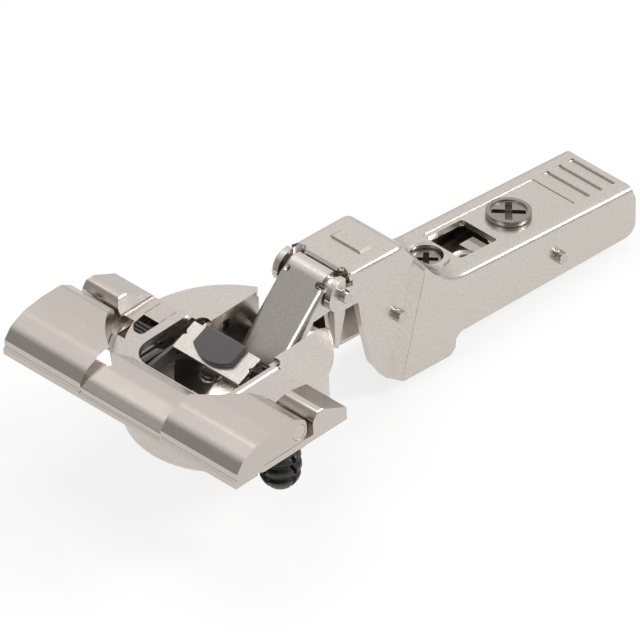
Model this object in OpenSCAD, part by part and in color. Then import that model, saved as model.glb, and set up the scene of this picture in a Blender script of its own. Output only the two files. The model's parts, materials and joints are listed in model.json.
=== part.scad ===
// Concealed cup hinge for an inset door, shown open at about 93 degrees.
// The frame is the cup's: origin at the centre of the drilled cup on the door's face,
// +Z out of the door, +X towards the hinge arm, +Y along the pivot pins.

/* [Cup] */
// Diameter of the hole drilled in the door
bore_d = 35; // [34:0.5:36]
// Gap between the cup and its hole
bore_fit = 0.2; // [0.1:0.05:0.4]
// Depth of the cup below the door's face
cup_depth = 11.7; // [11.5:0.1:13.5]
// Wall of the drawn cup
cup_wall = 1.0; // [0.8:0.1:1.2]
// Floor of the drawn cup
floor_t = 0.8; // [0.6:0.1:0.9]
// Radius of the round flange
flange_r = 18.3; // [18:0.1:18.6]
// Thickness of the flange
flange_t = 1.1; // [0.9:0.1:1.2]
// Width of the slot that the links swing in
slot_w = 14.8; // [14.2:0.1:15]

/* [Cover] */
// Half length of the cover, along the pins
cover_half = 27; // [26:0.1:28]
// Height of the cover above the door
cover_h = 2.3; // [2.1:0.1:2.5]
// Back edge of the cover
cover_back = 1.9; // [1.5:0.1:2.1]
// Half width of the window in the cover
window_half = 10.05; // [9.9:0.05:10.3]
// Front edge of the window
window_front = -12.2; // [-12.4:0.1:-12]
// Height of the end blocks
block_h = 5.2; // [4.6:0.1:5.6]

/* [Clamp lever] */
// Half length of the lever
lever_half = 27.2; // [26.8:0.1:28]
// Height of the lever's wings
lever_h = 6.95; // [6.7:0.05:7.3]
// Depth that the middle lies below the wings
lever_step = 1.9; // [1.5:0.1:2.1]
// Distance between the two dowels
dowel_pitch = 45; // [44:0.5:46]
// Distance of the dowels from the cup's centre
dowel_x = -9.5; // [-10:0.5:-9]
// Radius of a dowel's core
dowel_r = 3.0; // [2.8:0.1:3.2]
// Depth of a dowel below the door's face
dowel_depth = 8.9; // [8:0.1:10]

/* [Arm] */
// Thickness of the folded sheet
sheet_t = 1.25; // [1.1:0.05:1.3]
// Half width of the arm's head
head_half = 6.75; // [6.6:0.05:6.9]
// Half width of the arm's tail
tail_half = 8.0; // [7.8:0.1:8.3]
// Slope of the crank between head and tail
crank_deg = 52; // [50:1:54]
// Slope of the tail's top
tail_deg = 2.75; // [2:0.25:3.5]
// Length of the arm's top behind the head's pin
arm_len = 67.3; // [65:0.1:72]

/* [Pins] */
// Radius of the two pins in the arm's head
head_pin_r = 1.1; // [1:0.05:1.15]
// Radius of the two pins in the cup
cup_pin_r = 0.95; // [0.85:0.05:1]
// Running clearance of a link on its pin
run_gap = 0.05; // [0.02:0.01:0.08]
// Length of pin that stands out of the arm
pin_end = 1.2; // [0.8:0.1:1.6]
// Half width of the outer link
link_half = 5.0; // [4.8:0.05:5.1]
// Thickness of the links
link_t = 1.2; // [1.1:0.05:1.2]

/* [Screws] */
// Diameter of the depth screw's head
depth_head_d = 7.8; // [7.4:0.1:8.2]
// Diameter of the side screw
side_screw_d = 5.8; // [5.4:0.1:6]

/* [Hidden] */
$fn = 64;
eps = 0.01;
far = 100;

// Colours of the finishes
nickel = [0.80, 0.77, 0.74];
nickel_dark = [0.66, 0.63, 0.60];
steel_bright = [0.78, 0.77, 0.76];
plastic_dark = [0.29, 0.28, 0.29];
plastic_black = [0.16, 0.15, 0.14];

// Pivot centres as [x, z]: two pins in the arm's head, two in the cup, one for the rocker
head_a = [21.56, 4.09];
head_b_arm = [12.9, -10.2];
cup_a = [9.5, -7.5];
cup_b = [13.8, -5.2];
rocker_c = [-10.8, -2.5];
lever_c = [-9.3, 3.7];
arm_deg = 3.5;

cup_r = bore_d / 2 - bore_fit;
cup_in = cup_r - cup_wall;
floor_z = floor_t - cup_depth;
slot_half = slot_w / 2;
cheek_t = 1.0;
cheek_x = 3.2;
hole_gap = 0.02;

// Shapes that several pieces share

// A point at angle a and distance r from c
function polar(c, r, a) = c + r * [cos(a), sin(a)];

// A closed outline with rounded corners: each entry is [x, y, corner radius]
function corner(p, q, n) =
    let (a = [p.x - q.x, p.y - q.y], b = [n.x - q.x, n.y - q.y],
         ua = a / norm(a), ub = b / norm(b),
         half = acos(min(1, max(-1, ua * ub))) / 2,
         back = q[2] / tan(half),
         c = [q.x, q.y] + (ua + ub) / norm(ua + ub) * q[2] / sin(half),
         s = [q.x, q.y] + ua * back - c, e = [q.x, q.y] + ub * back - c,
         a0 = atan2(s.y, s.x), d = atan2(e.y, e.x) - a0,
         turn = d > 180 ? d - 360 : d < -180 ? d + 360 : d)
    q[2] < 0.05 ? [[q.x, q.y]] : [for (k = [0 : 6]) polar(c, q[2], a0 + turn * k / 6)];

function rounded(pts) = [for (i = [0 : len(pts) - 1])
    each corner(pts[(i + len(pts) - 1) % len(pts)], pts[i], pts[(i + 1) % len(pts)])];

// A flat shape drawn in x and z, stretched from y0 to y1
module slab(y0, y1) {
    translate([0, y1, 0]) rotate([90, 0, 0]) linear_extrude(y1 - y0) children();
}

// The same on both sides of the middle
module slabs(y0, y1) {
    slab(y0, y1) children();
    slab(-y1, -y0) children();
}

// A round bar along y at c = [x, z]
module bar(c, r, y0, y1) {
    translate([c.x, y1, c.y]) rotate([90, 0, 0]) cylinder(h = y1 - y0, r = r);
}

// Both of a mirrored pair
module both() {
    children();
    mirror([0, 1, 0]) children();
}

// Points of an arc about c, from angle a0 to a1
function arc(c, r, a0, a1, n = 12) = [for (k = [0 : n]) polar(c, r, a0 + (a1 - a0) * k / n)];

// A folded sheet's section: flat top at 0, round folds, two legs down
module channel(half, t, r, leg) {
    difference() {
        polygon(rounded([[-half, -leg, 0], [-half, 0, r], [half, 0, r], [half, -leg, 0]]));
        polygon(rounded([[t - half, -leg - 1, 0], [t - half, -t, max(r - t, 0.2)], [half - t, -t, max(r - t, 0.2)],
            [half - t, -leg - 1, 0]]));
    }
}

// A wire swept along points, with a round section of n sides
function unit(v) = v / norm(v);
function wire_ring(p, d, r, n) =
    let (side = unit(cross(d, abs(d.y) > 0.9 ? [1, 0, 0.02] : [0.02, 1, 0])), up = cross(side, d))
    [for (k = [0 : n - 1]) p + r * (cos(360 * k / n) * side + sin(360 * k / n) * up)];

module wire(pts, r, n = 8) {
    m = len(pts);
    rings = [for (i = [0 : m - 1])
        each wire_ring(pts[i], unit(pts[min(i + 1, m - 1)] - pts[max(i - 1, 0)]), r, n)];
    walls = [for (i = [0 : m - 2], k = [0 : n - 1])
        [i * n + k, (i + 1) * n + k, (i + 1) * n + (k + 1) % n, i * n + (k + 1) % n]];
    polyhedron(rings, concat(walls, [[for (k = [0 : n - 1]) k]],
        [[for (k = [n - 1 : -1 : 0]) (m - 1) * n + k]]), convexity = 10);
}

// Points of a coil about an axis along y at c = [x, z]
function coil(c, r, y0, y1, turns, a0, steps = 14) =
    [for (k = [0 : round(turns * steps)])
        let (f = k / round(turns * steps), a = a0 + 360 * turns * f)
        [c.x + r * cos(a), y0 + (y1 - y0) * f, c.y + r * sin(a)]];

// Places a piece of the arm, which is drawn with its front pin at the origin
module in_arm() {
    translate([head_a.x, 0, head_a.y]) rotate([0, arm_deg, 0]) children();
}

// Cup

module cup_profile() {
    edge_r = 2;
    difference() {
        union() {
            square_to(0, -cup_depth + edge_r, cup_r, 0);
            square_to(0, -cup_depth, cup_r - edge_r, 0);
            translate([cup_r - edge_r, -cup_depth + edge_r]) circle(edge_r);
            square_to(0, 0, flange_r, flange_t);
        }
        difference() {
            square_to(-eps, floor_z, cup_in, flange_t - 1);
            translate([cup_in - 1, floor_z]) difference() {
                square([1 + eps, 1]);
                translate([0, 1]) circle(1);
            }
        }
        square_to(-flange_r - 5, -cup_depth - 1, 0, flange_t + 1);
    }
}

module square_to(x0, y0, x1, y1) {
    translate([x0, y0]) square([x1 - x0, y1 - y0]);
}

// Window and slot in the flange, seen from above
module flange_opening() {
    square_to(-13, -10.4, cheek_x, 10.4);
    square_to(cheek_x - eps, -slot_half, far, slot_half);
    both_2d() translate([cheek_x, slot_half + 0.7]) circle(1.5);
    both_2d() polygon([[15.2, slot_half - eps], [flange_r + 1, slot_half + 3], [flange_r + 1, slot_half - eps]]);
    square_to(-8.4, 11.4, -1.2, 16.4);
}

module both_2d() {
    children();
    mirror([0, 1]) children();
}

module cup_body() color(nickel) {
    difference() {
        union() {
            difference() {
                rotate_extrude($fn = 128) cup_profile();
                translate([0, 0, -eps]) linear_extrude(flange_t + 1) flange_opening();
                translate([0, 0, -4.5]) linear_extrude(6) square_to(10, -slot_half, far, slot_half);
            }
            intersection() {
                slabs(slot_half, slot_half + cheek_t) polygon(rounded([
                    [cheek_x, 0.5, 0], [cheek_x, -8, 2], [cheek_x + 3, -cup_depth + 0.3, 0],
                    [cup_r, -cup_depth + 0.3, 0], [cup_r, 0.5, 0]]));
                translate([0, 0, -cup_depth + 0.3]) cylinder(h = cup_depth, r = cup_r - 0.3, $fn = 128);
            }
            both() translate([-11, 2.4, floor_z - 0.2]) cube([6, 0.9, 0.8]);
        }
        bar(cup_a, cup_pin_r + hole_gap, -far, far);
        bar(cup_b, cup_pin_r + hole_gap, -far, far);
        translate([8, 0, -1.6]) cube([1.5, 3 * slot_half, 1.9], center = true);
    }
}

module cup_pin(c) {
    end = slot_half + cheek_t + 0.5;
    bar(c, cup_pin_r, -end, end);
}

module cup_pin_front() color(steel_bright) cup_pin(cup_a);

module cup_pin_back() color(steel_bright) cup_pin(cup_b);

// Bushes that keep the links in the middle of their pins
module cup_bushes() color(steel_bright) {
    gap = 0.1;
    difference() {
        union() {
            both() bar(cup_a, cup_pin_r + 0.8, link_half + gap, slot_half - gap);
            both() bar(cup_b, cup_pin_r + 0.4, link_half + gap, link_half + 0.7);
        }
        bar(cup_a, cup_pin_r + hole_gap, -far, far);
        bar(cup_b, cup_pin_r + hole_gap, -far, far);
    }
}

// Closing spring: a coil on the back pin with two short legs
module closing_spring() color(steel_bright) {
    r = cup_pin_r + 0.62;
    end = inner_half - link_t - 0.55;
    turns = 4.5;
    coiled = coil(cup_b, r, -end, end, turns, 180);
    wire(concat([[cup_b.x - r, -end, cup_b.y - 4.2]], coiled, [[cup_b.x + r, end, cup_b.y - 2.6]]), 0.35);
}

// Cover

module cover_round() {
    intersection() {
        circle(r = 16.4, $fn = 128);
        square_to(-far, -far, cover_back, far);
    }
}

module end_block() {
    intersection() {
        slab(17.4, cover_half) polygon(rounded([[-5.9, 0, 0], [-5.9, 3.6, 1.2], [-4.7, block_h, 0.8],
            [-3.6, block_h, 0.5], [cover_back, cover_h + 0.2, 0.3], [cover_back, 0, 0]]));
        translate([-far / 2, 0, 0]) rotate([90, 0, 90]) linear_extrude(far) polygon(rounded([
            [17.4, 0, 0], [17.9, cover_h + 0.4, 1.2], [19.6, block_h + 0.1, 1],
            [cover_half, block_h + 0.1, 0.6], [cover_half, 0, 0]]));
    }
}

// The window's outline, wider by grow, with its two front corners rounded
module window_2d(grow) {
    f = window_front - grow;
    h = window_half + grow;
    polygon(rounded([[f, -h, 4.5 + grow], [f, h, 4.5 + grow], [25, h, 0], [25, -h, 0]]));
}

module cover_plate() color(nickel) difference() {
    union() {
        // Low bars that lie on the door, under the lever
        difference() {
            linear_extrude(1.2) polygon(rounded([[-18.5, -cover_half, 1.5], [-18.5, cover_half, 1.5],
                [cover_back, cover_half, 0.6], [cover_back, -cover_half, 0.6]]));
            translate([0, 0, -1]) cylinder(h = 3, r = flange_r + 0.1, $fn = 128);
        }
        // Raised middle that lies on the flange
        translate([0, 0, flange_t]) linear_extrude(cover_h - flange_t) union() {
            cover_round();
            both_2d() square_to(-5, 15, cover_back, 18.6);
        }
        difference() {
            both() end_block();
            translate([0, 0, -1]) cylinder(h = flange_t + 1, r = flange_r + 0.1, $fn = 128);
        }
        // Rounded bead round the window
        translate([0, 0, cover_h - 0.3]) linear_extrude(0.5) difference() {
            intersection() {
                window_2d(0.9);
                square_to(-far, -far, cover_back, far);
            }
            window_2d(0);
        }
        // Knuckles that carry the lever's pins
        slabs(24.1, 25.5) union() {
            translate(lever_c) circle(1.5);
            square_to(lever_c.x - 1.5, 0.2, lever_c.x + 1.5, lever_c.y);
        }
    }
    translate([0, 0, -1]) linear_extrude(far) window_2d(0);
    // Switch slot, D-shaped, and the recess behind it
    translate([0, 0, -1]) linear_extrude(far) switch_slot();
    // Shallow panel lines beside the switch
    for (y = [12.1, 15.8]) translate([-2.4, y, cover_h - 0.15]) cube([3.6, 0.15, 1]);
    both() translate([dowel_x, dowel_pitch / 2, -1]) cylinder(h = 4, r = 2.1);
    bar(lever_c, 0.9 + run_gap, -far, far);
}

module switch_slot() {
    polygon(rounded([[-2.7, 12.05, 0.1], [-2.7, 15.75, 0.1], [-5.6, 15.3, 1], [-7.0, 13.9, 1.2], [-7.0, 12.5, 0.6],
        [-6.4, 12.05, 0.3]]));
}

module damper_switch() color(plastic_dark) {
    gap = 0.1;
    translate([0, 0, flange_t - 0.7]) linear_extrude(0.6) square_to(-8.2, 11.6, -4.0, 16.1);
    difference() {
        intersection() {
            translate([0, 0, 0.4]) linear_extrude(1.5) translate([-4.6, 13.9]) scale([1, 0.94]) translate([4.6, -13.9])
                switch_slot();
            translate([-7 + gap, 12, 0]) cube([2.9, 4, far]);
        }
        for (k = [0 : 2]) translate([-6.6 + 0.85 * k, 12, 1.6]) cube([0.35, 4, 1]);
    }
}

// Clamp lever

module wing_profile() {
    h = lever_h;
    polygon(rounded([[-24.1, 0.3, 0], [-24.1, 1.5, 0.1], [-23.75, 1.7, 0], [-23.75, 3.0, 0.6],
        [-22.2, 5.0, 3], [-19, h - 0.5, 5], [-15, h, 4], [-10.5, h, 3], [-7.5, 5.3, 1.6], [-7.5, 2.6, 1.2],
        [-9, 1.5, 0.8], [-18.9, 1.5, 0], [-18.9, 0.3, 0]]));
}

module middle_profile() {
    h = lever_h - lever_step;
    polygon(rounded([[-24.1, 0.3, 0], [-24.1, 1.2, 0.1], [-23.8, 1.4, 0], [-23.8, 2.3, 0.5],
        [-22.2, 3.8, 2.5], [-19, h - 0.2, 4], [-16, h, 2], [-13.6, 3.9, 1], [-13.1, 2.75, 0.2],
        [-18.9, 2.75, 0], [-18.9, 0.3, 0]]));
}

module clamp_lever() color(nickel) difference() {
    union() {
        difference() {
            slabs(9.4, lever_half) wing_profile();
            translate([0, 0, -1]) cylinder(h = 20, r = 19.2, $fn = 128);
        }
        intersection() {
            slab(-12, 12) middle_profile();
            translate([0, 0, -1]) linear_extrude(far) polygon(rounded([[-25, -9.8, 0], [-17, -9.8, 1], [-15.6, -9.2, 1],
                [-13.1, -6.8, 1], [-13.1, 6.8, 1], [-15.6, 9.2, 1], [-17, 9.8, 1], [-25, 9.8, 0]]));
        }
    }
    // Hollow below each wing, inside the walls
    difference() {
        slabs(11.2, 23.9) polygon(rounded([[-22.6, -1, 0], [-22.6, 3.0, 1], [-19.4, 4.8, 1], [-15, 5.5, 1],
            [-11.4, 5.5, 0.5], [-11.4, -1, 0]]));
        translate([0, 0, -2]) cylinder(h = 20, r = 20.6, $fn = 128);
    }
    // Room for the knuckles, open at the back so that the lever can swing
    slabs(23.85, 25.7) square_to(-12, -1, -6, lever_c.y + 1.65);
    bar(lever_c, lever_pin_r + hole_gap, lever_half - 1.5, far);
    bar(lever_c, lever_pin_r + hole_gap, -far, 1.5 - lever_half);
    bar(lever_c, 0.9 + hole_gap, 20, far);
    bar(lever_c, 0.9 + hole_gap, -far, -20);
}

lever_pin_r = 1.45;

module lever_pins() color(nickel) both() {
    bar(lever_c, lever_pin_r, lever_half - 1.4, lever_half);
    bar(lever_c, 0.9, 22, lever_half - 1.4 + eps);
}

// Dowels

module dowel_profile() {
    barb = dowel_r + 0.65;
    d = dowel_depth;
    polygon([[1.7, 1.1], [2.05, 1.1], [2.05, -0.05], [dowel_r, -0.05], [dowel_r, -2.2], [barb - 0.3, -2.4], [barb, -3.1],
        [dowel_r - 0.2, -3.9], [dowel_r - 0.2, -4.3], [barb, -4.6], [barb, -5.4], [dowel_r - 0.3, -6.1],
        [dowel_r - 0.3, -6.5], [barb - 0.2, -6.8], [barb - 0.5, -7.6], [dowel_r - 0.4, -d + 0.5],
        [dowel_r - 0.9, -d], [1.7, -d]]);
}

module dowel() difference() {
    rotate_extrude() dowel_profile();
    // Two crossed slits let the barbs spread
    for (a = [0, 90]) rotate(a) translate([-0.35, -far / 2, -dowel_depth - 1]) cube([0.7, far, dowel_depth - 1.2]);
}

module dowel_left() color(plastic_black) translate([dowel_x, dowel_pitch / 2, 0]) dowel();

module dowel_right() color(plastic_black) translate([dowel_x, -dowel_pitch / 2, 0]) dowel();

module expander() {
    translate([0, 0, 1.1 - dowel_depth]) cylinder(h = dowel_depth - 1.5, r = 1.6);
}

module expander_left() color(steel_bright) translate([dowel_x, dowel_pitch / 2, 0]) expander();

module expander_right() color(steel_bright) translate([dowel_x, -dowel_pitch / 2, 0]) expander();

// Damper

damper_y = 2.0;
damper_z = -5.8;
damper_r = 2.0;
arm_in = 7.85;
arm_out = 8.6;
cheek_in = 8.8;

module damper_housing() color(plastic_black) difference() {
    intersection() {
        union() {
            translate([0, 0, floor_z + 0.05]) cylinder(h = 2, r = cup_in - 1.15, $fn = 128);
            translate([0, 0, floor_z + 1.05]) cylinder(h = -floor_z - 1.25, r = cup_in - 0.15, $fn = 128);
        }
        union() {
            translate([-16, -12, floor_z]) cube([3.2, 24, 11]);
            slab(cheek_in, 10.3) polygon(rounded([[-16, floor_z, 0], [-16, 1, 0], [-8, 1, 0], [-3.0, -1.5, 2],
                [-3.0, floor_z, 1]]));
            slab(-10.3, -cheek_in) polygon(rounded([[-16, floor_z, 0], [-16, 1, 0], [-8.4, 1, 0], [-8.4, floor_z, 1]]));
            translate([-9, 10.2, -6]) cube([7.6, 5, 5.6]);
        }
    }
    translate([0, 0, -2.4]) translate([-4.2, 10.4, 0]) cube([9, 6, far]);
    bar(rocker_c, 0.8 + hole_gap, -far, far);
    translate([-20, damper_y, damper_z]) rotate([0, 90, 0]) cylinder(h = far, r = damper_r + hole_gap);
}

module damper_cylinder() color(steel_bright) translate([0, damper_y, damper_z]) rotate([0, 90, 0]) difference() {
    translate([0, 0, -15.3]) cylinder(h = 6.6, r = damper_r);
    translate([0, 0, -14.6]) cylinder(h = 8, r = 0.85);
}

module damper_rod() color(steel_bright) translate([0, damper_y, damper_z]) rotate([0, 90, 0]) {
    translate([0, 0, -12.6]) cylinder(h = 7.4, r = 0.8);
}

// Rocker: the link pushes its cap down, and it drives the damper

plate_a = [-4.1, 0.65];
plate_deg = 23.2;
plate_len = 5.71;

module in_plate() {
    translate([plate_a.x, 0, plate_a.y]) rotate([0, -plate_deg, 0]) children();
}

module rocker_plate() color(nickel) in_plate() difference() {
    union() {
        translate([0, 0, -0.8]) linear_extrude(0.8) difference() {
            square_to(0, -7.75, plate_len, 7.75);
            // Notches half way along the two ends
            both_2d() polygon([[2.5, 8], [3.2, 7.15], [3.9, 8]]);
        }
        slabs(7.05, 7.75) polygon([[3.7, -0.4], [5.5, -0.4], [5.2, -2.1], [4.2, -2.1]]);
        slabs(7.05, 7.75) polygon([[2.2, -0.4], [2.9, -0.4], [2.9, -1.2], [2.2, -1.2]]);
    }
    translate([1.8, -2.5, -2]) cube([2.6, 5, 4]);
}

module rocker() color(plastic_dark) difference() {
    union() {
        in_plate() {
            // Bar below the plate, neck through it, and the cap on top
            translate([0.3, -arm_out, -1.9]) cube([1.7, 2 * arm_out, 1.08]);
            translate([0.3, -5, -1.7]) cube([4.6, 10, 0.88]);
            translate([1.85, -2.45, -1]) cube([2.5, 4.9, 1.2]);
            intersection() {
                translate([0, 0, 0.02]) linear_extrude(1) difference() {
                    square_to(0, -4.4, plate_len + 0.35, 4.4);
                    difference() {
                        square_to(-1, -5, 3, 5);
                        translate([7.2, 0]) circle(r = 6.7, $fn = 128);
                    }
                }
                slab(-5, 5) polygon(rounded([[-1, 0.02, 0], [plate_len + 0.35, 0.02, 0.1], [plate_len + 0.35, 1.0, 0.45],
                    [-1, 1.0, 0]]));
            }
        }
        // Arms to the pivot
        slabs(arm_in, arm_out) union() {
            translate(rocker_c) circle(1.6);
            polygon([rocker_c + [-0.5, 1.5], [-3.8, 0.1], [-1.9, 0.2], [-1.9, -1.0], rocker_c + [0.5, -1.5]]);
        }
    }
    bar(rocker_c, 0.8 + run_gap, -far, far);
}

module rocker_stud() color(steel_bright) translate([-3.0, 0, -2.5]) {
    cylinder(h = 0.3, r = 1.9);
    cylinder(h = 1.1, r = 1.6);
}

module rocker_pin() color(steel_bright) bar(rocker_c, 0.8, -10.2, 10.2);

// Outer link: a channel whose web curls over the head's front pin

web_deg = 45.2;
web_n = [-sin(web_deg), cos(web_deg)];
web_off_a = 3.3;
web_foot = cup_a + web_n * (web_off_a + (head_a - cup_a) * web_n);
web_len = norm(head_a + web_n * web_off_a - web_foot);
tongue_half = link_half - 1;

function web_at(u, v) = web_foot + u * [cos(web_deg), sin(web_deg)] - v * web_n;

module in_web() {
    translate([web_foot.x, 0, web_foot.y]) rotate([0, -web_deg, 0]) children();
}

module outer_link() color(nickel) difference() {
    union() {
        // Web, then a narrower tongue that curls over the pin
        in_web() slab(-link_half, link_half) polygon([[0.5, 0], [0.5, -link_t], [web_len - 1.05, -link_t],
            [web_len - 1.05, 0]]);
        slab(-tongue_half, tongue_half) polygon(concat([web_at(web_len - 1.3, link_t), web_at(web_len - 1.3, 0)],
            arc(head_a, web_off_a, 90 + web_deg, 90 + web_deg - 57),
            arc(head_a, web_off_a - link_t, 90 + web_deg - 57, 90 + web_deg)));
        slabs(link_half - link_t, link_half) translate(cup_a) circle(2.35);
        slabs(link_half - link_t, link_half) translate(head_a) circle(2.3);
        // Sides, kept clear of the door's face, and the lug that hangs in front of its edge
        in_web() slabs(link_half - link_t + 0.02, link_half - 0.02) polygon(rounded([[-1.2, -1.0, 0], [0.6, -0.6, 0],
            [10.3, -0.6, 0], [10.3, -2.0, 0], [3.9, -2.1, 1], [2.2, -3.8, 0], [0, -5.1, 0], [-2.2, -3.4, 0]]));
        slabs(link_half - link_t + 0.02, link_half - 0.02) polygon(rounded([[14.3, 0.75, 0], [16.6, 0.62, 0],
            [20.5, 0.8, 0.3], [20.95, 0.2, 0.3], [20.95, -7.1, 0.3], [21.75, -7.35, 0.3], [23.45, -1.6, 0],
            [24.2, 3, 0.8], [22.6, 5.2, 0], [19.9, 5.6, 0], [18.4, 4.7, 0]]));
    }
    // Relief holes where the sides' folds end
    in_web() both() translate([web_len - 0.5, tongue_half - 0.35, -2.3]) cylinder(h = 4, r = 0.65);
    bar(cup_a, cup_pin_r + run_gap, -far, far);
    bar(head_a, head_pin_r + run_gap, -far, far);
}

// Inner link: two hooked plates that reach over the door's edge, joined by a web

inner_half = 3.2;
head_b = head_a + [head_b_arm.x * cos(arm_deg) + head_b_arm.y * sin(arm_deg),
                   head_b_arm.y * cos(arm_deg) - head_b_arm.x * sin(arm_deg)];
open_gap = 1.4;

module inner_link() color(nickel) difference() {
    union() {
        slabs(inner_half - link_t + 0.1, inner_half) union() {
            translate(cup_b) circle(1.9);
            translate(head_b) circle(head_pin_r + open_gap + 1.1);
            polygon(rounded([cup_b_pt(-1.5, 1.0, 0), [15.2, -0.9, 0], [17.1, 2.2, 1.5], [18.7, 3.25, 0.8],
                [20.2, 2.8, 0.5], [21.9, 1.9, 1], [25, 0.6, 4], [head_b.x + 1, head_b.y + 3.4, 0],
                [head_b.x + 0.5, head_b.y - 3.4, 0], [28.8, -9.35, 3], [21.95, -8.4, 0.6], [21.1, -0.3, 1],
                [19.2, 1.85, 0.4], [17.9, 1.45, 1], [16.3, -1.9, 3], [15.3, -4.9, 0]]));
        }
        slab(-inner_half, inner_half) polygon([[22.6, -8.45], [28.6, -9.25], [28.6, -8.2], [22.7, -7.4]]);
    }
    bar(cup_b, cup_pin_r + run_gap, -far, far);
    bar(head_b, head_pin_r + open_gap, -far, far);
}

function cup_b_pt(dx, dz, r) = [cup_b.x + dx, cup_b.y + dz, r];

// Hinge arm: one folded sheet with a high head, a crank and a low tail

head_top = 3.3;
head_front = 1.5;
bend_a = [14.1, head_top];
bend_b = [23.0, -8.09];
bend_ra = 2.6;
bend_rb = 11;
tan_a = bend_ra * tan(crank_deg / 2);
tan_b = bend_rb * tan((crank_deg - tail_deg) / 2);
jog_a = 4.7;
jog_b = 7.4;
pin_low = [12.9, -10.2];
pin_guide = [49.8, -15.7];
win_x = 34.7;
depth_x = 45.8;
side_x = 26.3;

// Centres of the two bends, and a point below the tail's top
arc_a = [bend_a.x - tan_a, head_top - bend_ra];
arc_b = bend_b + tan_b * [-cos(crank_deg), sin(crank_deg)] + bend_rb * [sin(crank_deg), cos(crank_deg)];

function tail_at(x, v) = [x, bend_b.y - (x - bend_b.x) * tan(tail_deg) - v / cos(tail_deg)];

module top_sheet() difference() {
    slab(-tail_half, tail_half) polygon(concat([[head_front, head_top - sheet_t], [head_front, head_top]],
        arc(arc_a, bend_ra, 90, 90 - crank_deg), arc(arc_b, bend_rb, 270 - crank_deg, 270 - tail_deg),
        [tail_at(arm_len, 0), tail_at(arm_len, sheet_t)], arc(arc_b, bend_rb + sheet_t, 270 - tail_deg, 270 - crank_deg),
        arc(arc_a, bend_ra - sheet_t, 90 - crank_deg, 90)));
    // The head is narrower, and the crank widens from it to the tail
    translate([bend_a.x, 0, bend_a.y]) rotate([0, crank_deg, 0]) translate([0, 0, -8]) linear_extrude(30)
        both_2d() polygon([[-30, head_half], [jog_a, head_half],
            [2 * jog_b - jog_a, 2 * tail_half - head_half], [-30, 2 * tail_half - head_half]]);
}

// Outline of the arm's two sides, below the folds
module side_outline() {
    polygon(rounded([[-3.3, 3.2, 3.1], [1.7, 3.2, 0.8], [1.7, 2.6, 0], [13.76, 2.6, 1.9], [22.65, -8.75, 11.7],
        [arm_len, -10.9, 0], [arm_len + 0.7, -12.75, 0], [arm_len + 0.7, -19.75, 2.3], [26.6, -19.65, 1.2],
        [25.5, -20.6, 0.8], [25.4, -22.3, 0], [24.2, -23.4, 1.2], [13.2, -23.2, 2.5], [10.3, -21.8, 3],
        [6.8, -17, 4], [4.7, -9.1, 8], [3.65, -4.0, 0], [3.45, -3.1, 0.3], [-3.3, -3.1, 3.1]]));
}

// The side is stepped outwards along a leaning line
jog_deg = 14.6;
jog_p = [16.95, -0.5];
jog_w = 1.75;

module beside_jog(x0, x1) {
    translate(jog_p) rotate(-jog_deg) square_to(x0, -40, x1, 20);
}

module sides() {
    slabs(head_half - sheet_t + 0.015, head_half - 0.015) intersection() {
        side_outline();
        beside_jog(-40, 0.02);
    }
    slabs(tail_half - sheet_t + 0.015, tail_half - 0.015) intersection() {
        side_outline();
        beside_jog(jog_w, 80);
    }
    intersection() {
        slabs(head_half - sheet_t, tail_half) intersection() {
            side_outline();
            beside_jog(-0.5, jog_w + 0.5);
        }
        both() translate([jog_p.x, 0, jog_p.y]) rotate([0, jog_deg, 0]) translate([0, 0, -40]) linear_extrude(60)
            polygon([[-0.1, head_half - sheet_t + 0.005], [jog_w + 0.1, tail_half - sheet_t + 0.005],
                [jog_w + 0.1, tail_half - 0.03], [-0.1, head_half - 0.03]]);
    }
}

// Places what is on the tail's top: x as along the arm, z = 0 on the surface
module on_tail() {
    translate([bend_b.x, 0, bend_b.y]) rotate([0, tail_deg, 0]) translate([-bend_b.x, 0, 0]) children();
}

module hinge_arm() color(nickel) in_arm() difference() {
    union() {
        top_sheet();
        sides();
        // Raised tab on the head
        translate([7.2, 0, 0]) rotate([90, 0, 90]) linear_extrude(2.35)
            polygon([[-3.7, head_top - eps], [-3.1, head_top + 0.35], [3.1, head_top + 0.35], [3.7, head_top - eps]]);
        // Drawn collar of the side screw
        translate([side_x, 0, -11]) cylinder(h = 3.1, r = side_screw_d / 2 + 1.1);
    }
    // Head's front edge, set back beside a middle tongue, with round corners
    both() translate([head_front + 0.1, 4.6, 0]) cylinder(h = 10, r = 0.8);
    both() translate([head_front - 1, 4.6, 0.8]) cube([1.7, 3, 5]);
    on_tail() {
        translate([0, 0, -3]) linear_extrude(6) polygon(rounded([[win_x - 4.3, -4.15, 0.6], [win_x - 4.3, 4.15, 0.6],
            [win_x + 4.3, 4.15, 0.6], [win_x + 4.3, -4.15, 0.6]]));
        translate([depth_x, 0, -3]) cylinder(h = 6, r = 2.75);
        // Sunken panel round window and screw, and the three grip steps
        translate([0, 0, -0.14]) linear_extrude(1) polygon(rounded([[29.4, -5.05, 2], [29.4, 5.05, 2],
            [56.6, 5.05, 0.3], [56.6, -5.05, 0.3]]));
        for (k = [0 : 2]) slab(-5.05, 5.05)
            polygon([[58.6 + 2.95 * k, 0], [60.3 + 2.95 * k, -0.32], [60.3 + 2.95 * k, 1], [58.6 + 2.95 * k, 1]]);
    }
    translate([side_x, 0, -14]) cylinder(h = 12, r = side_screw_d / 2 + 0.05);
    translate([side_x, 0, -7.95]) cylinder(h = 6, r = side_screw_d / 2 + 0.6);
    bar([0, 0], head_pin_r + hole_gap, -far, far);
    bar(pin_low, head_pin_r + hole_gap, -far, far);
    bar(pin_guide, head_pin_r + hole_gap, -far, far);
}

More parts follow.
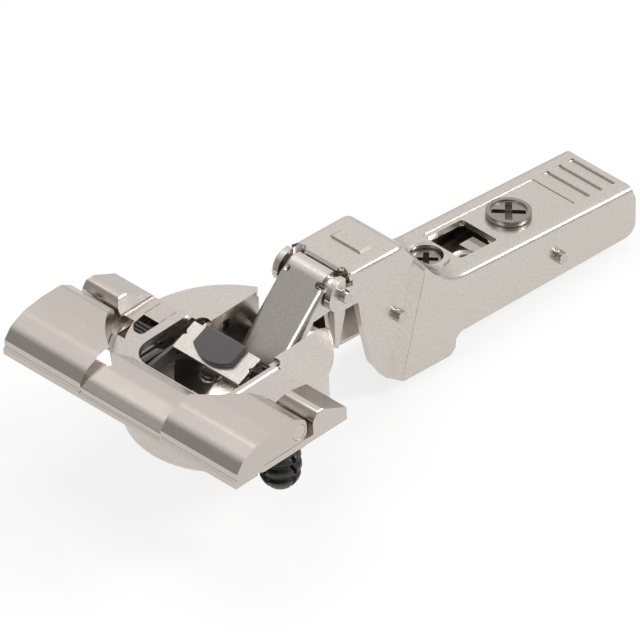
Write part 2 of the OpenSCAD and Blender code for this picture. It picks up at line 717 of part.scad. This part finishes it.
// A pin with grooved ends
module splined_pin(c, half) {
    end = half + pin_end;
    difference() {
        bar(c, head_pin_r, -end, end);
        for (a = [20 : 60 : 320]) translate([c.x, 0, c.y]) rotate([0, a, 0]) both()
            translate([head_pin_r - 0.16, half + 0.1, -0.22]) cube([1, pin_end, 0.44]);
    }
}

module arm_pin_front() color(steel_bright) in_arm() splined_pin([0, 0], head_half);

module arm_pin_low() color(steel_bright) in_arm() splined_pin(pin_low, head_half);

module guide_pin() color(steel_bright) in_arm() splined_pin(pin_guide, tail_half);

// Screws

// A cross-shaped recess
module cross_recess(r, w, depth) {
    for (a = [45, 135]) rotate(a) translate([-r, -w / 2, -depth]) cube([2 * r, w, depth + 1]);
}

module depth_screw() color(nickel_dark) in_arm() on_tail() translate([depth_x, 0, 0]) difference() {
    union() {
        translate([0, 0, -0.09]) cylinder(h = 1, r = depth_head_d / 2);
        translate([0, 0, -3.6]) cylinder(h = 3.7, r = 2.7);
        translate([0, 0, -6.2]) cylinder(h = 2.7, r = 1.6);
    }
    // Dished head with a raised rim and a cross
    translate([0, 0, 0.55]) cylinder(h = 1, r = depth_head_d / 2 - 0.75);
    translate([0, 0, 0.6]) cross_recess(depth_head_d / 2 - 1.0, 1.15, 1.8);
}

module side_screw() color(nickel_dark) in_arm() translate([side_x, 0, 0]) difference() {
    union() {
        translate([0, 0, -17.2]) cylinder(h = 8.4, r = side_screw_d / 2 - 0.35);
        // Thread, as closed rings
        for (k = [0 : 9]) translate([0, 0, -16.6 + 0.8 * k])
            rotate_extrude() polygon([[1, -0.3], [side_screw_d / 2 - 0.36, -0.3], [side_screw_d / 2, 0],
                [side_screw_d / 2 - 0.36, 0.3], [1, 0.3]]);
    }
    translate([0, 0, -8.8]) cross_recess(side_screw_d / 2 - 0.9, 1.0, 2);
}

// Carrier: the plate inside the arm that clips on the mounting plate

carrier_half = 6.35;
carrier_top = -13.2;
catch_c = [59.5, -15.4];

module carrier() color(nickel_dark) in_arm() difference() {
    union() {
        translate([31.6, 0, carrier_top]) rotate([90, 0, 90]) linear_extrude(33.4) channel(carrier_half, 1.2, 1.4, 3);
        slabs(carrier_half - 1.2, carrier_half) polygon(rounded([[28, -14.5, 0], [65, -14.5, 0], [65, -18.7, 1.5],
            [34, -18.7, 1], [33, -18.2, 0], [31.4, -16.9, 0.8], [30.2, -17.4, 0.5], [30.6, -18.7, 0.5], [28, -18.7, 1]]));
        // Raised seat for the tip of the side screw's plate, seen through the window
        translate([34.4, -1.2, carrier_top - 0.5]) cylinder(h = 1.6, r = 2.6);
    }
    translate([34.4, -1.2, carrier_top - 2]) cylinder(h = 6, r = 1.3);
    translate([37.8, -3.6, carrier_top - 2]) cube([3.2, 7.2, 4]);
    // Room for the catch and its spring
    translate([catch_c.x - 2.5, -catch_half - 0.2, carrier_top - 2]) cube([5.2, 2 * catch_half + 0.4, 4]);
    translate([depth_x, 0, carrier_top - 2]) linear_extrude(4) slot_2d(1.75, 2.4);
    // Long holes that let the arm slide on the guide pin
    slabs(carrier_half - 2, carrier_half + 1) translate(pin_guide) slot_2d(head_pin_r + 0.1, 2.4);
    bar(catch_c, 0.9 + hole_gap, -far, far);
}

// A long hole: half width r, and travel to each side
module slot_2d(r, travel) {
    for (s = [-1, 1]) translate([s * travel, 0]) circle(r);
    square([2 * travel, 2 * r], center = true);
}

// Release catch at the tail
catch_half = 4.9;

module catch() color(nickel_dark) in_arm() difference() {
    union() {
        slabs(catch_half - 1.1, catch_half) union() {
            translate(catch_c) circle(1.9);
            polygon(rounded([[57.8, -16.6, 0], [56.2, -19.6, 0.5], [57.9, -19.6, 0.4], [59.3, -17.6, 0.8],
                [68, -18.9, 0.8], [68.6, -15.7, 0.8], [60, -14.75, 0]]));
        }
        slab(-catch_half, catch_half) polygon(rounded([[66.6, -18.7, 0], [68, -18.9, 0.5], [68.6, -15.6, 0.5],
            [67.4, -15.4, 0]]));
    }
    bar(catch_c, 0.9 + run_gap, -far, far);
}

module catch_pin() color(steel_bright) in_arm() bar(catch_c, 0.9, -carrier_half, carrier_half);

module catch_spring() color(steel_bright) in_arm() {
    r = 1.5;
    end = catch_half - 1.6;
    coiled = coil(catch_c, r, -end, end, 7.5, 180);
    wire(concat([[catch_c.x - 6, -end, catch_c.y + 0.3]], coiled, [[catch_c.x + r, end, catch_c.y - 1.2]]), 0.3);
}

cup_body();
cover_plate();
clamp_lever();
lever_pins();
dowel_left();
dowel_right();
expander_left();
expander_right();
cup_pin_front();
cup_pin_back();
cup_bushes();
closing_spring();
damper_housing();
damper_cylinder();
damper_rod();
damper_switch();
rocker();
rocker_plate();
rocker_stud();
rocker_pin();
outer_link();
inner_link();
hinge_arm();
arm_pin_front();
arm_pin_low();
guide_pin();
depth_screw();
side_screw();
carrier();
catch();
catch_pin();
catch_spring();
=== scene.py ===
# %% [markdown]
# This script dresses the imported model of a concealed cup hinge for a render.
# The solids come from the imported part. Each one is copied, its sharp corners
# are rounded as pressing, casting or moulding leaves them, and it gets a finish.

# %% Start
import bpy
import bmesh
import json
import math
from mathutils import Matrix, Vector

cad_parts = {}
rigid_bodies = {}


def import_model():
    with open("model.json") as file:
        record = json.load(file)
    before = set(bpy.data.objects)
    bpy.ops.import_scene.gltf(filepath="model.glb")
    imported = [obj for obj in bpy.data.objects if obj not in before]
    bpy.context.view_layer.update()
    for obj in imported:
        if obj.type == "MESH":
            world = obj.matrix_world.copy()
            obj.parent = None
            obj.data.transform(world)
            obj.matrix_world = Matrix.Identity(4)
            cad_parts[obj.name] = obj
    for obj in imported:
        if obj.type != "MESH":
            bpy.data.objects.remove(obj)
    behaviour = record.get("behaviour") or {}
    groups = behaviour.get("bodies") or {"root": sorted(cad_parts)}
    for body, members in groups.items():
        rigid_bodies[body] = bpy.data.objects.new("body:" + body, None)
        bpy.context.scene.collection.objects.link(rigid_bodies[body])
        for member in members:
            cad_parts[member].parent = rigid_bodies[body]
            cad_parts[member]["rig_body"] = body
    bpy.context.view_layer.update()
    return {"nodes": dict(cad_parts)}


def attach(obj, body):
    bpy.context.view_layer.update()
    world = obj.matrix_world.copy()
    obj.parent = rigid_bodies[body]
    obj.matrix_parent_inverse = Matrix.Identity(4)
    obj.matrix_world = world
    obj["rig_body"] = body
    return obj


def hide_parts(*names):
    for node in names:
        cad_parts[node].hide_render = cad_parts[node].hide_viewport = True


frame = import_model()
MM = 0.001

# %% [markdown]
# Colours are written as they look on a screen, as hex values. Blender works
# with linear light, so one function turns each hex value to linear.


# %% Colours
def colour(hex_value):
    parts = [int(hex_value[i:i + 2], 16) / 255 for i in (1, 3, 5)]
    linear = [c / 12.92 if c <= 0.04045 else ((c + 0.055) / 1.055) ** 2.4 for c in parts]
    return (*linear, 1.0)


def add_node(tree, kind, links=(), **settings):
    """Adds a node, sets its properties and sockets, and links other nodes' outputs into it."""
    node = tree.nodes.new(kind)
    for name, value in settings.items():
        if hasattr(node, name):
            setattr(node, name, value)
        else:
            node.inputs[name.replace("_", " ")].default_value = value
    for socket, output in dict(links).items():
        tree.links.new(output, node.inputs[socket])
    return node


# %% [markdown]
# Nickel plate over steel is a warm pale grey mirror that barrel polishing has
# left satin: its reflections are soft, and tiny pits scatter the highlight.
# Brushing or a flat grey would look like plastic here. A noise of a third of a
# millimetre gives the pits, drawn coarser than real so that the render can show
# them, and a second one, some 6 mm wide, lets the sheen wander as plating does.


# %% Metals
def plated_metal(name, hex_value, roughness, grain=0.12, pit_mm=0.35, pit_mm_deep=0.008, patch_mm=6.0):
    material = bpy.data.materials.new(name)
    material.use_nodes = True
    tree = material.node_tree
    tree.nodes.clear()
    place = add_node(tree, "ShaderNodeTexCoord").outputs["Object"]
    pits = add_node(tree, "ShaderNodeTexNoise", {"Vector": place}, Scale=1 / (pit_mm * MM), Detail=2.0)
    patches = add_node(tree, "ShaderNodeTexNoise", {"Vector": place}, Scale=1 / (patch_mm * MM), Detail=1.0)
    sheen = add_node(tree, "ShaderNodeMapRange", {"Value": patches.outputs["Fac"]},
                     To_Min=roughness - 0.03, To_Max=roughness + 0.05)
    tone = add_node(tree, "ShaderNodeMapRange", {"Value": pits.outputs["Fac"]},
                    From_Min=0.35, From_Max=0.65, To_Min=1.0 - grain, To_Max=1.0)
    base = add_node(tree, "ShaderNodeMix", {"Factor": tone.outputs["Result"]}, data_type="RGBA")
    base.inputs[6].default_value = (0.0, 0.0, 0.0, 1.0)
    base.inputs[7].default_value = colour(hex_value)
    bump = add_node(tree, "ShaderNodeBump", {"Height": pits.outputs["Fac"]}, Strength=0.2,
                    Distance=pit_mm_deep * MM)
    shader = add_node(tree, "ShaderNodeBsdfPrincipled", {
        "Base Color": base.outputs[2], "Roughness": sheen.outputs["Result"],
        "Normal": bump.outputs["Normal"]}, Metallic=1.0)
    add_node(tree, "ShaderNodeOutputMaterial", {"Surface": shader.outputs["BSDF"]})
    print("made the metal", name)
    return material


nickel_plated_steel = plated_metal("nickel_plated_steel", "#CFC8C1", 0.26)
nickel_plated_zinc = plated_metal("nickel_plated_zinc", "#C9C1BA", 0.24, 0.06)
polished_casting = plated_metal("nickel_plated_zinc_polished", "#C4BCB5", 0.2, 0.05)
bright_steel = plated_metal("bright_drawn_steel", "#C4BFBA", 0.22)
dark_zinc_screw = plated_metal("dark_zinc_screw", "#9A948E", 0.3)

# %% [markdown]
# The cap, the switch and the dowels are moulded polyamide. It is filled and
# coloured through, and a fine spark-eroded texture in the mould makes it satin.
# A fine bump gives that texture, and a faint cloud keeps the grey from looking flat.


# %% Plastics
def moulded_plastic(name, hex_value, roughness, grain_mm=0.12, grain_mm_deep=0.015,
                    cloud_mm=4.0, swing=0.15):
    material = bpy.data.materials.new(name)
    material.use_nodes = True
    tree = material.node_tree
    tree.nodes.clear()
    place = add_node(tree, "ShaderNodeTexCoord").outputs["Object"]
    grain = add_node(tree, "ShaderNodeTexNoise", {"Vector": place}, Scale=1 / (grain_mm * MM), Detail=2.0)
    bump = add_node(tree, "ShaderNodeBump", {"Height": grain.outputs["Fac"]}, Strength=0.3,
                    Distance=grain_mm_deep * MM)
    cloud = add_node(tree, "ShaderNodeTexNoise", {"Vector": place}, Scale=1 / (cloud_mm * MM), Detail=1.0)
    tone = add_node(tree, "ShaderNodeMix", {"Factor": cloud.outputs["Fac"]}, data_type="RGBA")
    tone.inputs[6].default_value = [c * (1 - swing) for c in colour(hex_value)[:3]] + [1.0]
    tone.inputs[7].default_value = [c * (1 + swing) for c in colour(hex_value)[:3]] + [1.0]
    shader = add_node(tree, "ShaderNodeBsdfPrincipled", {
        "Base Color": tone.outputs[2], "Normal": bump.outputs["Normal"]}, Roughness=roughness)
    add_node(tree, "ShaderNodeOutputMaterial", {"Surface": shader.outputs["BSDF"]})
    print("made the plastic", name)
    return material


grey_polyamide = moulded_plastic("grey_polyamide", "#454344", 0.42)
black_polyamide = moulded_plastic("black_polyamide", "#232120", 0.4)

# %% [markdown]
# A CAD solid has knife-sharp corners, and real ones never do. Each solid is
# copied, its loose triangles are joined and its flat areas are made whole again.
# Then bevel rounds every corner sharper than 30 degrees. The width is that of
# the real edge: a broken press edge is 0.1 mm, and a casting's is wider.


# %% Rounding
def joined_copy(node):
    """A bmesh of a CAD node, with its triangles joined and its flat areas whole."""
    mesh = bmesh.new()
    mesh.from_mesh(frame["nodes"][node].data)
    bmesh.ops.remove_doubles(mesh, verts=mesh.verts, dist=0.002 * MM)
    bmesh.ops.dissolve_limit(mesh, angle_limit=math.radians(0.5), use_dissolve_boundaries=False,
                             verts=mesh.verts, edges=mesh.edges, delimit=set())
    return mesh


def sharp_edges(mesh, degrees=30):
    return [edge for edge in mesh.edges
            if len(edge.link_faces) == 2 and edge.calc_face_angle(0) > math.radians(degrees)]


def round_edges(mesh, edges, width_mm, segments, clamp=True):
    if edges:
        bmesh.ops.bevel(mesh, geom=edges, offset=width_mm * MM, offset_type="OFFSET", affect="EDGES",
                        segments=segments, profile=0.5, clamp_overlap=clamp, material=-1, loop_slide=True)


def smooth_faces(mesh, degrees=32):
    for face in mesh.faces:
        face.smooth = True
    for edge in mesh.edges:
        if len(edge.link_faces) == 2:
            edge.smooth = edge.calc_face_angle(0) < math.radians(degrees)


def place_piece(mesh, name, node, material):
    """Makes an object of the bmesh, which stands for the CAD node and moves with its body."""
    smooth_faces(mesh)
    data = bpy.data.meshes.new(name)
    mesh.to_mesh(data)
    mesh.free()
    piece = bpy.data.objects.new(name, data)
    bpy.context.scene.collection.objects.link(piece)
    data.materials.append(material)
    even = piece.modifiers.new("even_normals", "WEIGHTED_NORMAL")
    even.keep_sharp = True
    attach(piece, frame["nodes"][node]["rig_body"])
    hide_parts(node)


# %% [markdown]
# Each piece is listed with its material, its slot and the width of its edges in
# millimetres.

# %% Finishes
FINISHES = {
    "cup_body": (nickel_plated_steel, "nickel", 0.12),
    "cover_plate": (nickel_plated_zinc, "zinc", 0.3),
    "clamp_lever": (polished_casting, "zinc", 0.3),
    "lever_pins": (nickel_plated_zinc, "zinc", 0.1),
    "dowel_left": (black_polyamide, "black_plastic", 0.08),
    "dowel_right": (black_polyamide, "black_plastic", 0.08),
    "expander_left": (bright_steel, "steel", 0.1),
    "expander_right": (bright_steel, "steel", 0.1),
    "cup_pin_front": (bright_steel, "steel", 0.1),
    "cup_pin_back": (bright_steel, "steel", 0.1),
    "cup_bushes": (bright_steel, "steel", 0.05),
    "damper_housing": (black_polyamide, "black_plastic", 0.12),
    "damper_cylinder": (bright_steel, "steel", 0.1),
    "damper_rod": (bright_steel, "steel", 0.1),
    "damper_switch": (black_polyamide, "grey_plastic", 0.08),
    "rocker": (grey_polyamide, "grey_plastic", 0.12),
    "rocker_plate": (nickel_plated_steel, "nickel", 0.1),
    "rocker_stud": (bright_steel, "steel", 0.05),
    "rocker_pin": (bright_steel, "steel", 0.1),
    "outer_link": (nickel_plated_steel, "nickel", 0.1),
    "inner_link": (nickel_plated_steel, "nickel", 0.1),
    "hinge_arm": (nickel_plated_steel, "nickel", 0.08),
    "arm_pin_front": (bright_steel, "steel", 0.08),
    "arm_pin_low": (bright_steel, "steel", 0.08),
    "guide_pin": (bright_steel, "steel", 0.08),
    "depth_screw": (dark_zinc_screw, "zinc", 0.08),
    "side_screw": (dark_zinc_screw, "zinc", 0.05),
    "carrier": (nickel_plated_steel, "nickel", 0.1),
    "catch": (nickel_plated_steel, "nickel", 0.1),
    "catch_pin": (bright_steel, "steel", 0.1),
}

# %% [markdown]
# The outer link is bent from sheet, so its web's two long corners are round. The
# folds are straight, so a wide bevel on these two edges makes them. The web
# leans by 45.2 degrees, and its outer face lies 3.1 mm or more from the head's pin.

# %% Link's folds
HEAD_PIN = Vector((21.56, 0, 4.09)) * MM
WEB_LEAN = math.radians(45.2)
WEB_OUT = Vector((-math.sin(WEB_LEAN), 0, math.cos(WEB_LEAN)))
WEB_FROM = 3.1
LINK_HALF = 5.0
LINK_FOLD_R = 1.4


def link_folds(mesh):
    """The edges where the web's outer face meets a side."""
    found = []
    for edge in mesh.edges:
        outside = all(abs(v.co.y / MM) > LINK_HALF - 0.1
                      and ((v.co - HEAD_PIN) / MM).dot(WEB_OUT) > WEB_FROM for v in edge.verts)
        if outside and len(edge.link_faces) == 2:
            face, side = sorted((f.normal for f in edge.link_faces), key=lambda n: abs(n.y))
            if abs(face.y) < 0.35 and abs(side.y) > 0.8 and face.dot(WEB_OUT) > 0.2:
                found.append(edge)
    print("the outer link has", len(found), "folds")
    return found


# %% [markdown]
# The arm is folded the same way, but its folds run over two bends and widen at
# the crank, where a bevel tears. So the arm gets cuts beside its folds, and the
# points between them are drawn in onto a round corner. For that, one function
# tells how deep a point lies below the arm's outer face and how wide the arm is
# there. It knows the head, the bend of 2.6 mm, the crank, the bend of 11 mm and
# the tail. Sizes are in millimetres, along the arm's own axes, which lean 3.5 degrees.

# %% Arm's outer face
ARM_LEAN = math.radians(3.5)
ARM_UP = Vector((math.sin(ARM_LEAN), 0, math.cos(ARM_LEAN)))
ARM_ALONG = Vector((ARM_UP.z, 0, -ARM_UP.x))
CRANK = math.radians(52)
TAIL = math.radians(2.75)
HEAD_BEND = Vector((14.1, 3.3))
HEAD_BEND_R = 2.6
TAIL_BEND = Vector((23.0, -8.09))
TAIL_BEND_R = 11.0
HEAD_HALF = 6.75
TAIL_HALF = 8.0
WIDER_FROM = 4.7
WIDER_OVER = 2.7


def arm_corner(x, z):
    """Depth below the arm's outer face, and the arm's half width, at a point in the arm's axes."""
    down = Vector((math.cos(CRANK), -math.sin(CRANK)))
    face = Vector((math.sin(CRANK), math.cos(CRANK)))
    point = Vector((x, z))
    head_run = HEAD_BEND_R * math.tan(CRANK / 2)
    tail_run = TAIL_BEND_R * math.tan((CRANK - TAIL) / 2)
    head_centre = HEAD_BEND - Vector((head_run, HEAD_BEND_R))
    tail_centre = TAIL_BEND - tail_run * down + TAIL_BEND_R * face
    along = (point - HEAD_BEND).dot(down)
    if x < head_centre.x:
        depth = HEAD_BEND.y - z
    elif along < head_run:
        depth = HEAD_BEND_R - (point - head_centre).length
    elif (point - TAIL_BEND).dot(down) < -tail_run:
        depth = (HEAD_BEND - point).dot(face)
    elif x < TAIL_BEND.x + tail_run * math.cos(TAIL):
        depth = (point - tail_centre).length - TAIL_BEND_R
    else:
        depth = (TAIL_BEND - point).dot(Vector((math.sin(TAIL), math.cos(TAIL))))
    widened = min(max((along - WIDER_FROM) / WIDER_OVER, 0), 1)
    return depth, HEAD_HALF + widened * (TAIL_HALF - HEAD_HALF)


def in_arm(point):
    moved = (point - HEAD_PIN) / MM
    return moved.dot(ARM_ALONG), moved.y, moved.dot(ARM_UP)


# %% [markdown]
# The head's front is no wider than its sides, so what stands past them is drawn
# in and joined. The ears round the front pin end in a circle of 3.15 mm.

# %% Arm's front
EAR_END = 1.72
EAR_R = 3.15
HEAD_FRONT_END = 6.0


def trim_head_front(mesh):
    for vert in mesh.verts:
        x, y, z = in_arm(vert.co)
        if x < HEAD_FRONT_END and abs(y) > HEAD_HALF:
            vert.co.y = math.copysign(HEAD_HALF * MM, y)
    bmesh.ops.remove_doubles(mesh, verts=mesh.verts, dist=0.004 * MM)
    bmesh.ops.dissolve_degenerate(mesh, edges=mesh.edges, dist=0.004 * MM)


def round_ear(vert, x, z):
    pull = EAR_R / math.hypot(x, z) - 1
    vert.co += (x * pull * ARM_ALONG + z * pull * ARM_UP) * MM


# %% [markdown]
# Planes beside each fold cut the top. The strips beside the folds are flat faces
# of many corners, so they are made triangles, and the edges that cross them are
# divided. A square corner's point goes to the round one along the line to the
# round one's centre.

# %% Arm's folds
FOLD_R = 1.2
CUT_INSETS = (0.12, 0.35, 0.7, 1.2)
CUTS_DOWN = 5
STRIPS_FROM = 1.6
STRIP_DEPTH = 1.5


def cut_beside_folds(mesh):
    for half in (HEAD_HALF, TAIL_HALF):
        for inset in CUT_INSETS:
            for side in (-1, 1):
                bmesh.ops.bisect_plane(mesh, geom=mesh.verts[:] + mesh.edges[:] + mesh.faces[:], dist=1e-7,
                                       plane_co=(0, side * (half - inset) * MM, 0), plane_no=(0, 1, 0))


def is_beside_fold(face):
    """Whether the face looks along Y and lies within a sheet's thickness of the outer face."""
    if abs(face.normal.y) <= 0.8:
        return False
    for vert in face.verts:
        x, y, z = in_arm(vert.co)
        depth, half = arm_corner(x, z)
        if x <= STRIPS_FROM or abs(y) <= half - 0.1 or not -0.1 < depth < STRIP_DEPTH:
            return False
    return True


def divide_strips(mesh):
    beside = [face for face in mesh.faces if is_beside_fold(face)]
    cut = bmesh.ops.triangulate(mesh, faces=beside, quad_method="BEAUTY", ngon_method="BEAUTY")
    strips = []
    for edge in {e for face in cut["faces"] for e in face.edges}:
        deep = [arm_corner(*in_arm(v.co)[::2])[0] for v in edge.verts]
        if min(deep) < 0.2 and max(deep) > 0.9:
            strips.append(edge)
    print("the arm has", len(strips), "edges across its folds")
    bmesh.ops.subdivide_edges(mesh, edges=strips, cuts=CUTS_DOWN)


def draw_in(vert, x, y, z):
    """Moves a point of the square corner onto the round one."""
    depth, half = arm_corner(x, z)
    u, v = FOLD_R - depth, FOLD_R - (half - abs(y))
    if u > 0 and v > 0 and depth > -0.05:
        shrink = max(u, v) / math.hypot(u, v)
        new_y = math.copysign(half - FOLD_R + v * shrink, y)
        drop = u - u * shrink
        step = 0.01
        slope = Vector((arm_corner(x + step, z)[0] - depth, arm_corner(x, z + step)[0] - depth)) / step
        vert.co += ((new_y - y) * Vector((0, 1, 0)) + drop * (slope.x * ARM_ALONG + slope.y * ARM_UP)) * MM


def round_arm(mesh):
    trim_head_front(mesh)
    cut_beside_folds(mesh)
    divide_strips(mesh)
    for vert in mesh.verts:
        x, y, z = in_arm(vert.co)
        if x < EAR_END and z > 0 and math.hypot(x, z) > EAR_R:
            round_ear(vert, x, z)
        elif x > EAR_END:
            draw_in(vert, x, y, z)


# %% [markdown]
# Now each piece is made. The folds come before the small edges, because a bevel
# of the small ones first would leave the folds without a clean edge. The two
# springs are made of many small faces already, so they keep their solids.

# %% Dress each piece
for node, (material, slot, width) in FINISHES.items():
    mesh = joined_copy(node)
    if node == "outer_link":
        round_edges(mesh, link_folds(mesh), LINK_FOLD_R, 6, clamp=False)
    if node == "hinge_arm":
        round_arm(mesh)
    round_edges(mesh, sharp_edges(mesh), width, 2)
    place_piece(mesh, "dressed_" + node, node, material)
print("dressed", len(FINISHES), "pieces")

for node in ("closing_spring", "catch_spring"):
    solid = frame["nodes"][node]
    solid.data.materials.clear()
    solid.data.materials.append(bright_steel)
    for face in solid.data.polygons:
        face.use_smooth = True

# %% [markdown]
# The photograph looks down on the hinge from its cup's end, along parallel
# lines. A very long lens, far away, draws almost parallel lines too, and unlike
# an orthographic camera it needs no other setting for a closer look.
# Its frame is 105.61 mm wide at the hinge.

# %% Camera
FRAME_WIDTH = 105.61 * MM
back = Vector((-0.5469, -0.5774, 0.6063))
right = Vector((0.7062, -0.7071, -0.0364))
up = back.cross(right)
target = Vector((14.06, -8.82, 4.28)) * MM
lens = bpy.data.cameras.new("long_lens")
lens.sensor_width = 36
lens.lens = 1500
distance = FRAME_WIDTH / lens.sensor_width * lens.lens
lens.clip_start = 0.5
lens.clip_end = 20
camera = bpy.data.objects.new("camera", lens)
bpy.context.scene.collection.objects.link(camera)
turn = Matrix((right, up, back)).transposed().to_4x4()
camera.matrix_world = Matrix.Translation(target + back * distance) @ turn
bpy.context.scene.camera = camera
print("the camera stands", round(distance, 2), "m away")

# %% [markdown]
# The stage is a white paper floor in a white room. What the camera sees of them
# comes from their own glow, so that no lamp has to be strong enough to bleach
# them, and metal shows the same glow. The diffuse part of the floor keeps the
# hinge's shadow. Far from the hinge the paper falls off into the dim, and the
# room is bright overhead and dimmer low down: without that, satin metal
# would look like one flat grey from every side.


# %% Rays that see the stage
def seen_rays(tree):
    rays = add_node(tree, "ShaderNodeLightPath").outputs
    seen = add_node(tree, "ShaderNodeMath", {0: rays["Is Camera Ray"], 1: rays["Is Glossy Ray"]},
                    operation="MAXIMUM")
    shown = add_node(tree, "ShaderNodeMath", {0: seen.outputs[0], 1: rays["Is Transmission Ray"]},
                     operation="MAXIMUM")
    return shown.outputs[0]


# %% Floor
FLOOR_Z = -22.5 * MM
PAPER_SHADE = 0.85
PAPER_GLOW = 0.8


def white_paper():
    material = bpy.data.materials.new("white_paper")
    material.use_nodes = True
    tree = material.node_tree
    tree.nodes.clear()
    shown = seen_rays(tree)
    place = add_node(tree, "ShaderNodeTexCoord").outputs["Object"]
    reach = add_node(tree, "ShaderNodeVectorMath", {0: place}, operation="LENGTH")
    fade = add_node(tree, "ShaderNodeMapRange", {"Value": reach.outputs["Value"]},
                    interpolation_type="SMOOTHSTEP", From_Min=0.2, From_Max=0.7,
                    To_Min=PAPER_GLOW, To_Max=PAPER_GLOW * 0.4)
    share = add_node(tree, "ShaderNodeMath", {0: shown, 1: fade.outputs["Result"]}, operation="MULTIPLY")
    paint = add_node(tree, "ShaderNodeBsdfDiffuse", Color=(PAPER_SHADE, PAPER_SHADE, PAPER_SHADE, 1))
    shine = add_node(tree, "ShaderNodeEmission")
    mixed = add_node(tree, "ShaderNodeMixShader",
                     {0: share.outputs[0], 1: paint.outputs[0], 2: shine.outputs[0]})
    add_node(tree, "ShaderNodeOutputMaterial", {"Surface": mixed.outputs[0]})
    return material


ground = bmesh.new()
bmesh.ops.create_grid(ground, x_segments=1, y_segments=1, size=6)
bmesh.ops.translate(ground, verts=ground.verts, vec=(0, 0, FLOOR_Z))
ground_mesh = bpy.data.meshes.new("floor")
ground.to_mesh(ground_mesh)
ground.free()
floor = bpy.data.objects.new("floor", ground_mesh)
bpy.context.scene.collection.objects.link(floor)
ground_mesh.materials.append(white_paper())
print("the floor lies at a height of", round(FLOOR_Z / MM, 1), "mm")

# %% Room
BRIGHT_SIDE = (0.45, 0.3, 1.0)
LOW_GLOW = 0.38
LIGHT_ON_HINGE = 0.5
world = bpy.data.worlds.new("white_room")
bpy.context.scene.world = world
world.use_nodes = True
tree = world.node_tree
tree.nodes.clear()
shown = seen_rays(tree)
heading = add_node(tree, "ShaderNodeTexCoord").outputs["Generated"]
tilt = add_node(tree, "ShaderNodeVectorMath", {0: heading}, operation="DOT_PRODUCT")
tilt.inputs[1].default_value = BRIGHT_SIDE
soft = add_node(tree, "ShaderNodeMapRange", {"Value": tilt.outputs["Value"]},
                interpolation_type="SMOOTHSTEP", From_Min=0.25, From_Max=0.95,
                To_Min=LOW_GLOW, To_Max=1.0)
level = add_node(tree, "ShaderNodeMix", {"Factor": shown, "B": soft.outputs["Result"]},
                 data_type="FLOAT", A=LIGHT_ON_HINGE)
sky = add_node(tree, "ShaderNodeBackground", {"Strength": level.outputs[0]}, Color=(1, 1, 1, 1))
add_node(tree, "ShaderNodeOutputWorld", {"Surface": sky.outputs[0]})
print("the room glows from", LOW_GLOW, "low down to 1 overhead")


# %% [markdown]
# Three large square lamps light the hinge softly. Metal shows a lamp as a bright
# patch, so the strongest one stands where the arm's long folds mirror it, and
# draws the fine bright lines along them. A point lamp would draw a hard spark.


# %% Lamps
def soft_lamp(name, place, width, watts):
    data = bpy.data.lights.new(name, "AREA")
    data.shape = "SQUARE"
    data.size = width
    data.energy = watts
    lamp = bpy.data.objects.new(name, data)
    bpy.context.scene.collection.objects.link(lamp)
    lamp.location = place
    lamp.rotation_euler = (-Vector(place)).to_track_quat("-Z", "Y").to_euler()
    print("lit", name, "with", watts, "watts")


soft_lamp("lamp_left", (-0.8, -0.1, 0.8), 0.4, 3)
soft_lamp("lamp_front", (0.6, -0.66, 0.63), 0.35, 7)
soft_lamp("lamp_top", (0.1, 0.3, 1.2), 0.6, 4)

# %% [markdown]
# The Standard view shows white paper as white, where a filmic one would grey it.

# %% Finish
scene = bpy.context.scene
scene.view_settings.view_transform = "Standard"
